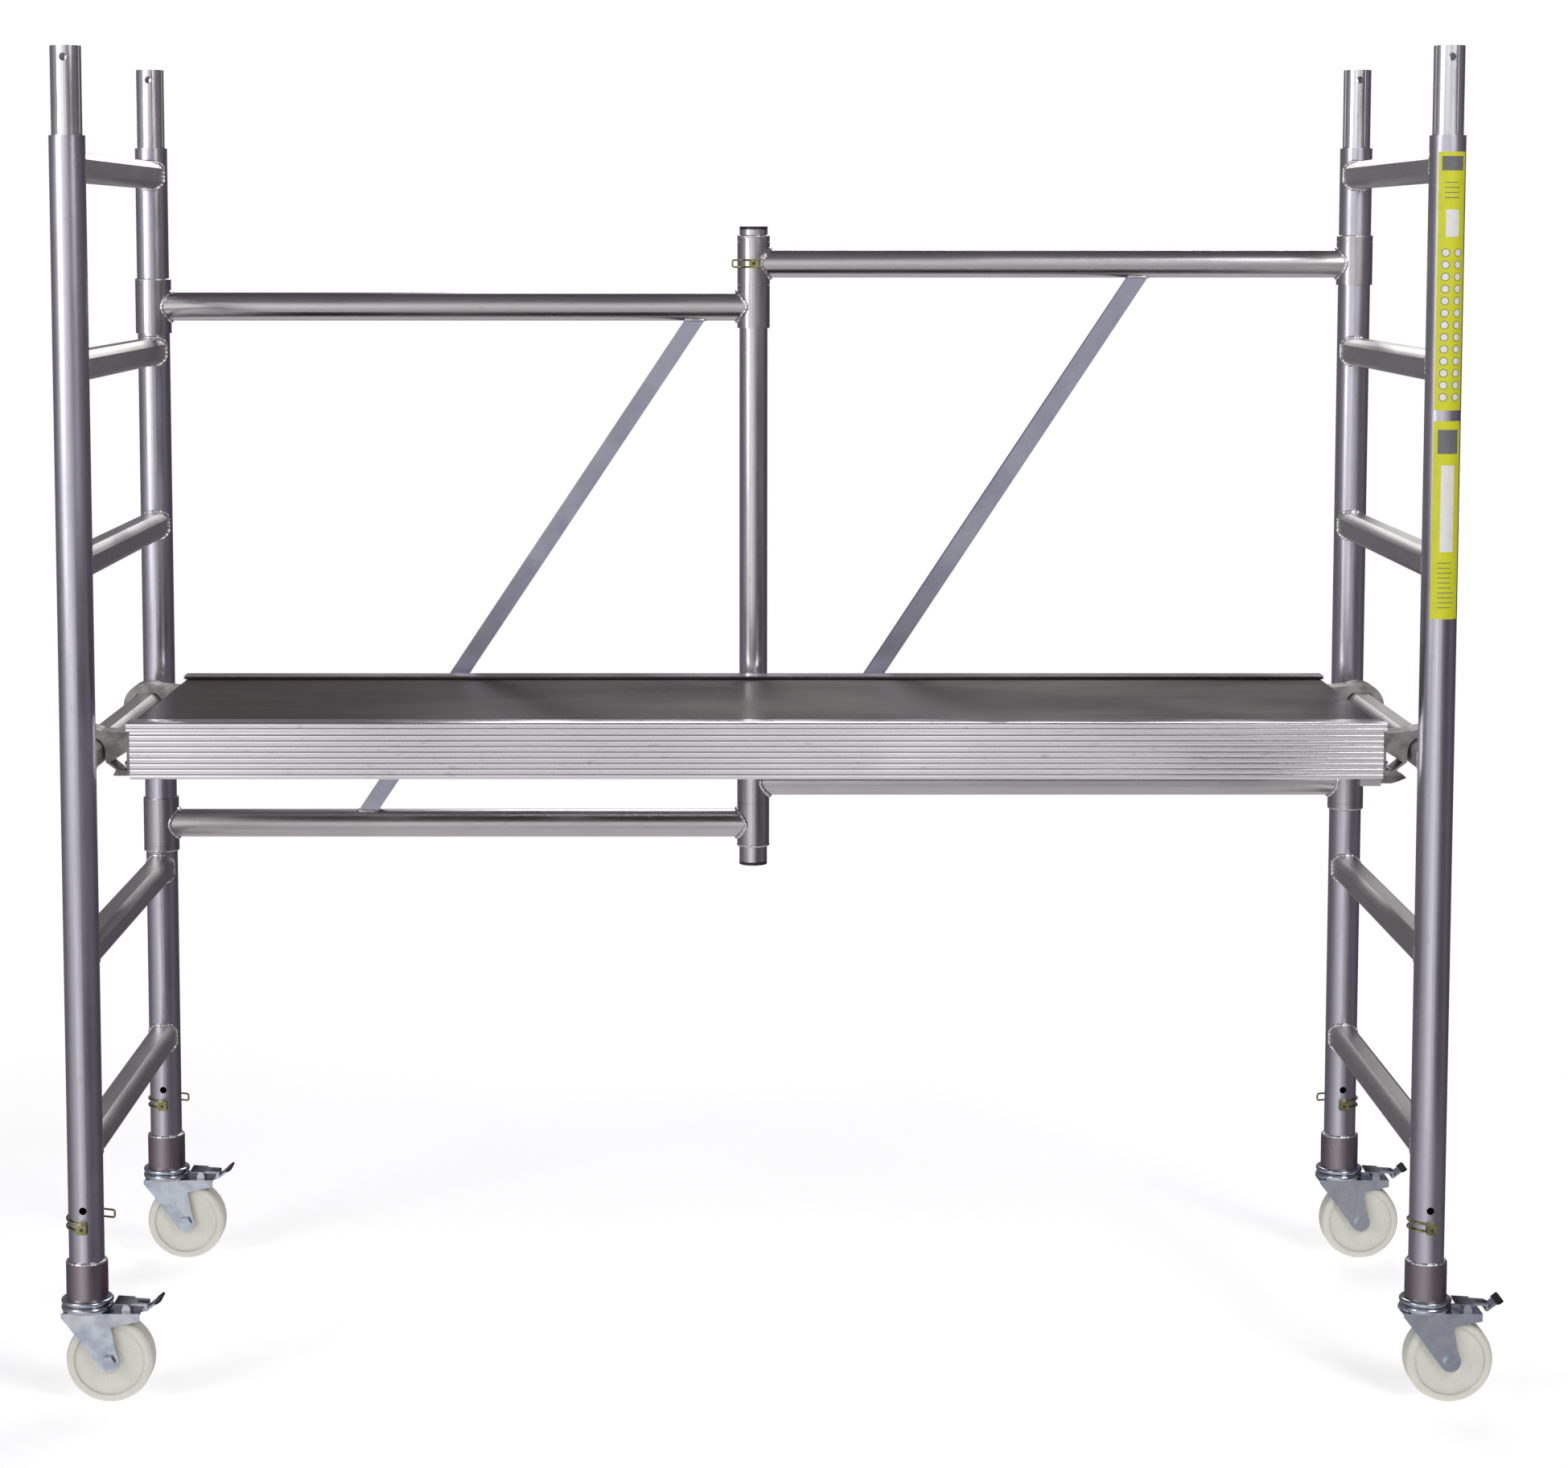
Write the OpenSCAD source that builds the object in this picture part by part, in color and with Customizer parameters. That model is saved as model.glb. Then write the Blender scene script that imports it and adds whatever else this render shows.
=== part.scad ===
// Folding aluminium rolling scaffold: two ladder frames on brake casters, joined at the back by a folding
// brace with a centre post, with one platform hooked over the rungs. Millimetres, +Z up. The origin is the
// middle of the whole object's outline on the floor. The ladders run along Y, and the platform along X.

/* [Frames] */
// Distance between the left and right upright axes
span = 1928; // [1500:4:2200]
// Distance between the front and rear upright axes
frame_w = 700; // [620:5:900]
// Outer diameter of the uprights
tube_d = 50.8; // [46:0.2:56]
// Wall of the uprights
tube_wall = 2; // [1.6:0.1:3]
// Distance between neighbouring rungs
rung_pitch = 280; // [240:5:330]
// Number of rungs in each frame
rung_count = 6; // [6:1:8]
// Height of the lowest rung above the floor
rung_first = 370; // [330:5:420]
// Width of a rung over its round corners
rung_d = 47; // [42:0.5:52]
// Width of a rung across its flats
rung_flat = 42; // [38:0.5:46]
// Upright left above the highest rung
upright_over = 43; // [36:1:80]
// Visible length of the spigots
spigot_len = 124; // [90:1:160]
// Diameter of the spigots
spigot_d = 43.4; // [38:0.1:45]
// Diameter of the foot sleeves
foot_sleeve_d = 60; // [57:0.5:70]
// Height of the foot sleeves
foot_sleeve_h = 52; // [40:1:70]
// Diameter of the holes that take a spring clip
clip_hole_d = 11; // [10.5:0.1:12]

/* [Folding brace] */
// Height of the left half's top tube
brace_top_z = 1561; // [1540:1:1600]
// Height of the left half's bottom tube
brace_bottom_z = 722; // [700:1:760]
// How much higher the right half's tubes are than the left half's
brace_step = 69; // [64:1:80]
// Diameter of the brace tubes
brace_d = 45; // [38:0.5:48]
// Diameter of the centre post
post_d = 45; // [40:0.5:50]
// Diameter of the sleeves on the centre post
post_sleeve_d = 52; // [50:0.5:60]
// Diameter of the sleeves and rings on the rear uprights
end_sleeve_d = 57; // [55:0.5:66]
// Height of the stop rings
ring_h = 8; // [6:0.5:12]
// Width of the diagonal bars
bar_w = 27; // [20:0.5:40]
// Depth of the diagonal bars
bar_t = 20; // [10:0.5:30]

/* [Platform] */
// Rung that carries the platform, counted from the floor
platform_rung = 3; // [2:1:4]
// Length of the platform's side rails
platform_l = 1815; // [1400:1:2090]
// Width over the side rails
platform_w = 570; // [480:5:600]
// Height of the side rails
rail_h = 82; // [76:1:100]
// Height of the rails' top above the middle of the carrying rung
platform_over = 46; // [44:1:52]
// Width of the rails' top flange
flange_w = 40; // [30:1:60]
// Thickness of the deck board
deck_t = 12; // [9:0.5:15]
// Outer radius of the hooks
hook_r = 37; // [35:0.5:42]
// Width of the hooks
hook_w = 44; // [30:1:60]

/* [Casters] */
// Wheel diameter
wheel_d = 125; // [115:1:130]
// Wheel width
wheel_w = 38; // [32:1:40]
// Distance from the swivel axis back to the wheel axle
trail = 33; // [28:1:36]
// Diameter of the swivel head
head_d = 75; // [70:1:80]
// Height from the floor to the upright's foot
caster_h = 152; // [152:1:165]
// Diameter of the wheel bolt
axle_d = 12; // [10:0.5:14]
// Reach of the brake pedal from the swivel axis
pedal_reach = 109; // [100:1:125]

/* [Spring clips] */
// Diameter of the clip pins
clip_pin_d = 10; // [8:0.1:10.4]
// Size of the clip's head block
clip_block = 14; // [12:0.5:18]
// Diameter of the spring wire
clip_wire_d = 3; // [2:0.1:4]
// Height of the leg clips
leg_clip_z = 260; // [230:1:280]

/* [Hidden] */
$fn = 64;

// Clearances: a turning fit, a seat at rest, a welded joint and a loose push fit, each on one side
turn_gap = 0.08;
seat_gap = 0.3;
weld_gap = 0.1;
push_gap = 0.2;

// Frames
left = -span / 2;
right = span / 2;
front = -frame_w / 2;
rear = frame_w / 2;
tube_in = tube_d - 2 * tube_wall;
rungs_z = [for (i = [0 : rung_count - 1]) rung_first + i * rung_pitch];
upright_top = rungs_z[rung_count - 1] + upright_over;
rung_wall = 2;
spigot_wall = 3;
spigot_plug = 80;
spigot_hole_below = 16;
flute_w = 3;
flute_depth = 1;
flute_count = 8;
spare_hole_up = 24;

// Folding brace
sleeve_h = brace_step - 0.6;
brace_wall = 2;
left_tubes_z = [brace_bottom_z, brace_top_z];
right_tubes_z = [brace_bottom_z + brace_step, brace_top_z + brace_step];
post_wall = 2.5;
post_over = 54;
post_top = right_tubes_z[1] + post_over;
post_bottom = left_tubes_z[0] - 62;
cap_h = 5;
diagonal_low = [640, 80];
diagonal_high = [80, 630];

// Platform
deck_top_z = rungs_z[platform_rung - 1] + platform_over;
rail_bottom_z = deck_top_z - rail_h;
rail_wall = 5;
flange_t = 5;
deck_z = deck_top_z - flange_t - seat_gap - deck_t;
foot_flange_w = 15;
foot_flange_t = 3;
lip_h = 14;
lip_groove = 1.2;
deep_groove = 2.6;
rib_pitch = 8;
rib_groove = 1.6;
rib_groove_w = 3;
rib_cut_back = 5;
beam_w = 30;
beam_wall = 3;
beam_out = platform_l / 2 - rib_cut_back;
beam_bottom_z = rail_bottom_z + foot_flange_t + seat_gap;
beam_top_z = deck_z - seat_gap;
rib_w = 25;
rib_h = 50;
rib_wall = 2;
rib_x = [for (i = [-2 : 2]) i * platform_l / 6];
hook_y = platform_w / 2 - rail_wall - hook_w / 2 - 8;
hook_plate_t = 6;
hook_side_gap = 1.5;
hook_below = 13;
hook_tip_below = 4;
rivet_d = 8;
rivet_head_d = 13;
rivet_head_h = 3;
rivet_z = [beam_bottom_z + 14, beam_top_z - 14];
rivet_out = hook_w / 2 - 8;
catch_w = 30;
catch_t = 12;
catch_tip_gap = 3;
catch_tail = 70;
guide_wall = 3;

// Casters
wheel_r = wheel_d / 2;
race_h = 8;
race_gap = 0.4;
crown_top = caster_h - race_h - race_gap - 10.4;
crown_t = 3;
crown_bottom = crown_top - crown_t;
cheek_t = 3;
cheek_in = wheel_w / 2 + 3;
king_d = 16;
king_nut_d = 26;
king_nut_h = 6;
stem_d = tube_in - 2 * push_gap;
stem_wall = 3;
stem_len = 150;
arm_end = 78;
axle_boss_r = 15;
bolt_head_d = 20;
bolt_head_h = 7;
washer_t = 0.5;
pedal_t = 3;
pedal_w = 40;
pedal_pin_d = 6;
pedal_pin_x = 58;
pedal_pin_z = crown_top + 6;
barrel_d = 10.5;
barrel_w = 28;
ear_t = 3;

// Spring clips
wire_turn = 235;
lock_turn = 14;
lock_loop = 27;

// Outline, which sets the origin
clip_reach = tube_d / 2 + clip_block;
x_mid = (left - head_d / 2 + right + pedal_reach) / 2;
y_mid = (front - max(head_d / 2, clip_reach) + rear + head_d / 2) / 2;

// Moves a piece from the frame's own middle to the shared origin
module placed() {
    translate([-x_mid, -y_mid, 0]) children();
}

module at_leg(x, y) {
    translate([x, y, 0]) children();
}

module tube(d, wall, h) {
    difference() {
        cylinder(d = d, h = h);
        translate([0, 0, -1]) cylinder(d = d - 2 * wall, h = h + 2);
    }
}

// A collar that sits round a tube of diameter d with a gap on each side
module collar(outer, d, gap, h) {
    difference() {
        cylinder(d = outer, h = h);
        translate([0, 0, -1]) cylinder(d = d + 2 * gap, h = h + 2);
    }
}

// A hole along -Y through one wall of a tube that stands on the Z axis
module clip_hole(z) {
    translate([0, 0, z]) rotate([90, 0, 0]) cylinder(d = clip_hole_d, h = tube_d, $fn = 32);
}

/* ---- ladder frames ---- */

module upright() {
    color("silver") difference() {
        translate([0, 0, caster_h]) tube(tube_d, tube_wall, upright_top - caster_h);
        clip_hole(leg_clip_z);
        clip_hole(leg_clip_z + spare_hole_up);
    }
}

// Outline of a rung: round corners and four flats
module rung_outline(grow = 0) {
    intersection() {
        circle(d = rung_d + 2 * grow);
        square(rung_flat + 2 * grow, center = true);
    }
}

module rungs(x) {
    color("gainsboro") difference() {
        for (z = rungs_z)
            translate([x, rear, z]) rotate([90, 0, 0]) linear_extrude(frame_w) difference() {
                rung_outline();
                rung_outline(-rung_wall);
            }
        for (y = [front, rear])
            translate([x, y, 0]) cylinder(d = tube_d + 2 * weld_gap, h = upright_top + 1);
    }
}

module spigot() {
    plug_d = tube_in - 2 * push_gap;
    translate([0, 0, upright_top]) difference() {
        union() {
            translate([0, 0, -spigot_plug]) cylinder(d = plug_d, h = spigot_plug);
            cylinder(d = spigot_d, h = spigot_len);
        }
        translate([0, 0, -spigot_plug - 1])
            cylinder(d = spigot_d - 2 * spigot_wall, h = spigot_plug + spigot_len + 2);
        for (i = [0 : flute_count - 1])
            rotate([0, 0, (i + 0.5) * 360 / flute_count])
                translate([spigot_d / 2 - flute_depth, -flute_w / 2, 2])
                    cube([flute_depth + 1, flute_w, spigot_len]);
        translate([0, tube_d / 2, spigot_len - spigot_hole_below]) rotate([90, 0, 0])
            cylinder(d = clip_hole_d, h = tube_d, $fn = 32);
    }
}

module spigots(x) {
    color("lightgray") for (y = [front, rear]) at_leg(x, y) spigot();
}

module foot_sleeves(x) {
    color("silver") for (y = [front, rear]) at_leg(x, y)
        translate([0, 0, caster_h]) collar(foot_sleeve_d, tube_d, weld_gap, foot_sleeve_h);
}

// Stop rings welded to a rear upright, at the given heights of their lower faces
module hinge_rings(x, heights) {
    color("silver") for (z = heights) at_leg(x, rear)
        translate([0, 0, z]) collar(end_sleeve_d, tube_d, weld_gap, ring_h);
}

function above(z) = z + sleeve_h / 2 + seat_gap;
function below(z) = z - sleeve_h / 2 - seat_gap - ring_h;

// Caster stems with their pins, fixed upper races and king pins
module caster_stem() {
    translate([0, 0, caster_h]) difference() {
        tube(stem_d, stem_wall, stem_len);
        translate([0, 0, -caster_h]) clip_hole(leg_clip_z);
        translate([0, 0, -caster_h]) clip_hole(leg_clip_z + spare_hole_up);
    }
    translate([0, 0, caster_h - race_h]) rotate_extrude() {
        square([head_d / 2 - race_h / 2, race_h]);
        translate([head_d / 2 - race_h / 2, race_h / 2]) circle(d = race_h, $fn = 24);
    }
    translate([0, 0, crown_bottom - 0.5 - king_nut_h]) {
        cylinder(d = king_nut_d, h = king_nut_h);
        cylinder(d = king_d, h = caster_h - race_h - crown_bottom + king_nut_h + 1);
    }
}

module caster_stems(x) {
    color("lightsteelblue") for (y = [front, rear]) at_leg(x, y) caster_stem();
}

/* ---- folding brace ---- */

// Two brace tubes between the sleeves on an upright and on the centre post
module brace_tubes(x, heights) {
    color("silver") difference() {
        for (z = heights) translate([min(x, 0), rear, z]) rotate([0, 90, 0]) tube(brace_d, brace_wall, abs(x));
        translate([x, rear, 0]) cylinder(d = end_sleeve_d + 2 * weld_gap, h = upright_top);
        translate([0, rear, 0]) cylinder(d = post_sleeve_d + 2 * weld_gap, h = upright_top);
    }
}

// A flat bar from one tube to the other, cut to the tubes
module brace_diagonal(low_x, high_x, heights) {
    run = high_x - low_x;
    rise = heights[1] - heights[0];
    color("slategray") difference() {
        translate([low_x, rear, heights[0]]) rotate([0, -atan2(rise, run), 0])
            translate([0, -bar_t / 2, -bar_w / 2]) cube([norm([run, rise]), bar_t, bar_w]);
        for (z = heights) translate([left, rear, z]) rotate([0, 90, 0])
            cylinder(d = brace_d + 2 * weld_gap, h = span);
    }
}

module sleeves(x, heights, outer, inner, gap, holed = false) {
    color("gainsboro") difference() {
        for (z = heights) translate([x, rear, z - sleeve_h / 2]) collar(outer, inner, gap, sleeve_h);
        if (holed) translate([x, rear, 0]) clip_hole(right_tubes_z[1]);
    }
}

module center_post() {
    color("silver") translate([0, rear, 0]) difference() {
        translate([0, 0, post_bottom]) tube(post_d, post_wall, post_top - post_bottom);
        clip_hole(right_tubes_z[1]);
    }
}

module post_ring() {
    color("gainsboro") translate([0, rear, above(right_tubes_z[1])])
        collar(post_sleeve_d, post_d, weld_gap, ring_h);
}

// Push-in end caps of the centre post
module post_cap() {
    cylinder(d = post_d, h = cap_h);
    translate([0, 0, -12]) cylinder(d = post_d - 2 * post_wall - 2 * push_gap, h = 12);
}

module post_caps() {
    color("black") {
        translate([0, rear, post_top]) post_cap();
        translate([0, rear, post_bottom]) rotate([180, 0, 0]) post_cap();
    }
}

/* ---- spring clips ---- */

// Pin and head block, with the pin pointing to +Y and the tube of diameter d behind the block
module clip_pin(d, depth) {
    color("goldenrod") {
        translate([0, -d / 2 + depth, 0]) rotate([90, 0, 0]) cylinder(d = clip_pin_d, h = depth + seat_gap, $fn = 32);
        translate([-clip_block / 2, -d / 2 - clip_block, -clip_block / 2])
            cube([clip_block, clip_block - seat_gap, clip_block]);
    }
}

// Two turns of spring wire round a tube, open at the block; side says which way round they go
module clip_wire(d, side) {
    start = asin((clip_block / 2 + 1) / (d / 2));
    reach = d / 2 + seat_gap + clip_wire_d / 2;
    color("darkkhaki") for (z = [-1, 1]) translate([0, 0, z * (clip_block / 2 - clip_wire_d / 2)])
        rotate([0, 0, side > 0 ? start - 90 : -start - 90 - wire_turn])
            rotate_extrude(angle = wire_turn) translate([reach, 0]) circle(d = clip_wire_d, $fn = 16);
}

// The lock clip's wire: a finger loop across the front, and two short turns that stop at the brace tube
module lock_wire() {
    reach = post_sleeve_d / 2 + seat_gap + clip_wire_d / 2;
    start = asin((clip_block / 2 + 1) / (post_sleeve_d / 2));
    half = clip_block / 2 - clip_wire_d / 2;
    color("darkkhaki") translate([0, rear, right_tubes_z[1]]) {
        for (z = [-half, half]) {
            translate([-clip_block / 2 - lock_loop, -reach, z]) rotate([0, 90, 0])
                cylinder(d = clip_wire_d, h = lock_loop - seat_gap, $fn = 16);
            translate([0, 0, z]) rotate([0, 0, start - 90])
                rotate_extrude(angle = lock_turn) translate([reach, 0]) circle(d = clip_wire_d, $fn = 16);
        }
        translate([-clip_block / 2 - lock_loop, -reach, -half - clip_wire_d / 2])
            cylinder(d = clip_wire_d, h = 2 * half + clip_wire_d, $fn = 16);
    }
}

/* ---- platform ---- */

module deck() {
    color("saddlebrown") translate([-beam_out, -platform_w / 2 + rail_wall + seat_gap, deck_z])
        cube([2 * beam_out, platform_w - 2 * rail_wall - 2 * seat_gap, deck_t]);
}

// Section of the front rail: the outer face is at x = 0 and the rail's foot at y = 0
module rail_outline() {
    rib_count = floor((rail_h - lip_h - deep_groove - rib_pitch) / rib_pitch);
    difference() {
        union() {
            square([rail_wall, rail_h]);
            translate([0, rail_h - flange_t]) square([flange_w, flange_t]);
            square([foot_flange_w, foot_flange_t]);
        }
        translate([-1, rail_h - lip_h / 2 - 1]) square([1 + lip_groove, 2.5]);
        translate([-1, rail_h - lip_h - deep_groove]) square([1 + deep_groove, deep_groove]);
        for (i = [1 : rib_count])
            translate([-1, rail_h - lip_h - deep_groove - i * rib_pitch - rib_groove_w / 2])
                square([1 + rib_groove, rib_groove_w]);
    }
}

module side_rail() {
    difference() {
        translate([-platform_l / 2, 0, 0]) rotate([90, 0, 90]) linear_extrude(platform_l) rail_outline();
        for (s = [-1, 1])
            translate([s * platform_l / 2 - rib_cut_back, -1, -1])
                cube([2 * rib_cut_back, flange_w + 2, rail_h - lip_h + 1]);
    }
}

module side_rails() {
    color("gainsboro") {
        translate([0, -platform_w / 2, rail_bottom_z]) side_rail();
        mirror([0, 1, 0]) translate([0, -platform_w / 2, rail_bottom_z]) side_rail();
    }
}

// Rivet holes through the hook plates and the end beam's outer wall, for one end
module rivet_holes(d) {
    for (y = [-hook_y, hook_y], dy = [-rivet_out, rivet_out], z = rivet_z)
        translate([beam_out - beam_wall - 1, y + dy, z]) rotate([0, 90, 0])
            cylinder(d = d, h = beam_wall + hook_plate_t + 2, $fn = 24);
}

module end_beam() {
    length = platform_w - 2 * rail_wall - 2 * seat_gap;
    difference() {
        translate([beam_out - beam_w, -length / 2, beam_bottom_z])
            cube([beam_w, length, beam_top_z - beam_bottom_z]);
        translate([beam_out - beam_w + beam_wall, -length / 2 - 1, beam_bottom_z + beam_wall])
            cube([beam_w - 2 * beam_wall, length + 2, beam_top_z - beam_bottom_z - 2 * beam_wall]);
        rivet_holes(rivet_d + 2 * push_gap);
    }
}

module end_beams() {
    color("silver") {
        end_beam();
        mirror([1, 0, 0]) end_beam();
    }
}

module cross_ribs() {
    length = platform_w - 2 * rail_wall - 2 * seat_gap;
    color("silver") for (x = rib_x) translate([x - rib_w / 2, -length / 2, beam_top_z - rib_h]) difference() {
        cube([rib_w, length, rib_h]);
        translate([rib_wall, -1, rib_wall]) cube([rib_w - 2 * rib_wall, length + 2, rib_h - 2 * rib_wall]);
    }
}

// Side outline of a right-hand hook, round the middle of its rung
module hook_outline() {
    plate = beam_out + seat_gap - right;
    wall_in = -rung_d / 2 - hook_side_gap;
    foot = beam_bottom_z - rungs_z[platform_rung - 1];
    head = beam_top_z - rungs_z[platform_rung - 1];
    difference() {
        union() {
            difference() {
                circle(r = hook_r);
                translate([0, -hook_r - hook_tip_below]) square([hook_r + 1, hook_r]);
                translate([-hook_r - 1, -hook_r - hook_below]) square([hook_r + 1, hook_r]);
            }
            polygon([
                [plate, foot], [plate + 26, foot], [plate + 22, foot + 9], [wall_in, -hook_below],
                [wall_in, head * 0.8], [-12, hook_r - 4], [plate, head]
            ]);
        }
        polygon([
            [plate + hook_plate_t, foot + 8], [plate + 17, foot + 8], [wall_in - 6, -hook_below],
            [plate + hook_plate_t, 2]
        ]);
        rung_outline_clear();
    }
}

// Room for the rung: its own outline with a seat above and a gap on each side, open below
module rung_outline_clear() {
    intersection() {
        circle(d = rung_d + 2 * hook_side_gap);
        translate([-rung_d, -rung_d]) square([2 * rung_d, rung_d + rung_flat / 2 + seat_gap]);
    }
    translate([-rung_d / 2 - hook_side_gap, -2 * rung_d]) square([rung_d + 2 * hook_side_gap, 2 * rung_d]);
}

module end_hooks() {
    difference() {
        for (y = [-hook_y, hook_y])
            translate([right, y + hook_w / 2, rungs_z[platform_rung - 1]]) rotate([90, 0, 0])
                linear_extrude(hook_w) hook_outline();
        rivet_holes(rivet_d + 2 * push_gap);
        rivet_pockets();
    }
}

// Room for the rivet heads: the upper ones reach through to the rung's seat for the tool
module rivet_pockets() {
    for (y = [-hook_y, hook_y], dy = [-rivet_out, rivet_out], upper = [0, 1])
        translate([beam_out + seat_gap + hook_plate_t, y + dy, rivet_z[upper]]) rotate([0, 90, 0])
            cylinder(d = rivet_head_d + 2 * push_gap, h = upper * 30 + rivet_head_h + 1, $fn = 24);
}

module hooks() {
    color("dimgray") {
        end_hooks();
        mirror([1, 0, 0]) end_hooks();
    }
}

module end_rivets() {
    for (y = [-hook_y, hook_y], dy = [-rivet_out, rivet_out], z = rivet_z)
        translate([beam_out + seat_gap + hook_plate_t, y + dy, z]) rotate([0, 90, 0]) {
            cylinder(d = rivet_head_d, h = rivet_head_h, $fn = 24);
            translate([0, 0, -hook_plate_t - beam_wall - seat_gap])
                cylinder(d = rivet_d, h = hook_plate_t + beam_wall + seat_gap, $fn = 24);
            translate([0, 0, -hook_plate_t - beam_wall - seat_gap - rivet_head_h])
                cylinder(d = rivet_head_d, h = rivet_head_h, $fn = 24);
        }
}

module hook_rivets() {
    color("silver") {
        end_rivets();
        mirror([1, 0, 0]) end_rivets();
    }
}

// Sliding tongue that goes under the right-hand rung and stops the platform from lifting
module uplift_catch() {
    tip = right - rung_flat / 2 - catch_tip_gap;
    top = beam_bottom_z - seat_gap;
    color("gray") translate([0, -hook_y + catch_w / 2, 0]) rotate([90, 0, 0]) linear_extrude(catch_w)
        polygon([
            [tip - catch_tail, top], [tip - 4, top], [tip, top - 4], [tip - 12, top - catch_t + 3],
            [tip - 22, top - catch_t], [tip - catch_tail, top - catch_t]
        ]);
}

module catch_guide() {
    top = beam_bottom_z;
    inner = catch_t + 2 * seat_gap;
    color("silver") translate([beam_out - beam_w, -hook_y, top - inner - guide_wall]) difference() {
        translate([0, -catch_w / 2 - seat_gap - guide_wall, 0])
            cube([beam_w, catch_w + 2 * seat_gap + 2 * guide_wall, inner + guide_wall]);
        translate([-1, -catch_w / 2 - seat_gap, guide_wall])
            cube([beam_w + 2, catch_w + 2 * seat_gap, inner + 1]);
    }
}

/* ---- casters: the wheel trails to +X ---- */

// Side outline of a fork cheek with its arm under the pedal
module cheek_outline() {
    difference() {
        union() {
            polygon([
                [-10, crown_top], [-10, 96], [trail - axle_boss_r * 0.8, wheel_r - axle_boss_r * 0.6],
                [trail + axle_boss_r, wheel_r], [43, 80], [37, 113], [arm_end, 122], [arm_end, crown_top]
            ]);
            polygon([
                [-head_d / 2 + 3, crown_top], [-head_d / 2 + 3, crown_top - 6], [-10, 96], [0, crown_top]
            ]);
            translate([trail, wheel_r]) circle(r = axle_boss_r);
        }
        translate([trail, wheel_r]) circle(d = axle_d + 2 * push_gap);
    }
}

module fork() {
    color("lightsteelblue") {
        difference() {
            union() {
                for (s = [-1, 1])
                    translate([0, s * (cheek_in + cheek_t / 2) + cheek_t / 2, 0]) rotate([90, 0, 0])
                        linear_extrude(cheek_t) cheek_outline();
                translate([0, -cheek_in - 0.01, crown_bottom]) cube([arm_end, 2 * cheek_in + 0.02, crown_t]);
                translate([0, 0, crown_bottom]) intersection() {
                    cylinder(d = head_d - 4, h = crown_t);
                    translate([-head_d, -cheek_in - 0.01, 0]) cube([2 * head_d, 2 * cheek_in + 0.02, crown_t]);
                }
                translate([0, 0, crown_top]) rotate_extrude() {
                    square([head_d / 2 - 5.2, 10.4]);
                    translate([head_d / 2 - 5.2, 5.2]) circle(d = 10.4, $fn = 24);
                }
            }
            translate([0, 0, crown_bottom - 1]) cylinder(d = king_d + 2 * turn_gap, h = 30);
        }
        for (s = [-1, 1]) translate([pedal_pin_x, s * (barrel_w / 2 + seat_gap + ear_t / 2), 0]) {
            difference() {
                union() {
                    translate([-6, -ear_t / 2, crown_top - 0.5]) cube([12, ear_t, pedal_pin_z - crown_top + 0.5]);
                    translate([0, ear_t / 2, pedal_pin_z]) rotate([90, 0, 0]) cylinder(d = 10.5, h = ear_t, $fn = 24);
                }
                translate([0, ear_t, pedal_pin_z]) rotate([90, 0, 0])
                    cylinder(d = pedal_pin_d - 0.2, h = 2 * ear_t, $fn = 24);
            }
        }
        translate([pedal_pin_x, barrel_w / 2 + seat_gap + ear_t, pedal_pin_z]) rotate([90, 0, 0])
            cylinder(d = pedal_pin_d, h = barrel_w + 2 * seat_gap + 2 * ear_t, $fn = 32);
    }
}

module wheel() {
    edge = 7;
    hub_dish = 3;
    color("ivory") translate([trail, wheel_w / 2, wheel_r]) rotate([90, 0, 0]) difference() {
        rotate_extrude($fn = 96) difference() {
            union() {
                square([wheel_r - edge, wheel_w]);
                translate([0, edge]) square([wheel_r, wheel_w - 2 * edge]);
                for (z = [edge, wheel_w - edge]) translate([wheel_r - edge, z]) circle(r = edge, $fn = 48);
            }
            for (z = [0, wheel_w]) translate([wheel_r * 0.3, z - hub_dish]) square([wheel_r * 0.52, 2 * hub_dish]);
        }
        translate([0, 0, -1]) cylinder(d = axle_d + 2 * turn_gap, h = wheel_w + 2);
    }
}

// Bolt with its head and nut, and a spacer on each side of the wheel
module axle() {
    half = cheek_in + cheek_t + washer_t;
    color("silver") translate([trail, 0, wheel_r]) rotate([90, 0, 0]) {
        translate([0, 0, -half]) cylinder(d = axle_d, h = 2 * half);
        translate([0, 0, half]) cylinder(d = bolt_head_d, h = bolt_head_h, $fn = 6);
        translate([0, 0, -half - bolt_head_h]) cylinder(d = bolt_head_d, h = bolt_head_h, $fn = 6);
        for (s = [-1, 1]) translate([0, 0, s * (wheel_w / 2 + cheek_in) / 2 - (cheek_in - wheel_w / 2 - 0.6) / 2])
            cylinder(d = axle_d + 6, h = cheek_in - wheel_w / 2 - 0.6);
    }
}

// Side outline of the brake pedal: tread plate, end wall and upturned tab, with the barrel for its pin
module pedal_outline() {
    top = crown_top + 13.6;
    inner = head_d / 2 + 3.5;
    outer = arm_end + 10;
    difference() {
        union() {
            polygon([[inner, top], [inner, top - pedal_t], [outer, top - 3 - pedal_t], [outer, top - 3]]);
            translate([outer - pedal_t, crown_top + 2]) square([pedal_t, top - 4 - crown_top - 2]);
            polygon([
                [outer - 4, crown_top + 1], [outer - 1, crown_top], [pedal_reach, caster_h - 2],
                [pedal_reach - 3, caster_h]
            ]);
            translate([pedal_pin_x, pedal_pin_z]) circle(d = barrel_d, $fn = 32);
            translate([pedal_pin_x - 4, pedal_pin_z]) square([8, top - pedal_pin_z - 2]);
        }
        translate([pedal_pin_x, pedal_pin_z]) circle(d = pedal_pin_d + 2 * turn_gap, $fn = 32);
    }
}

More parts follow.
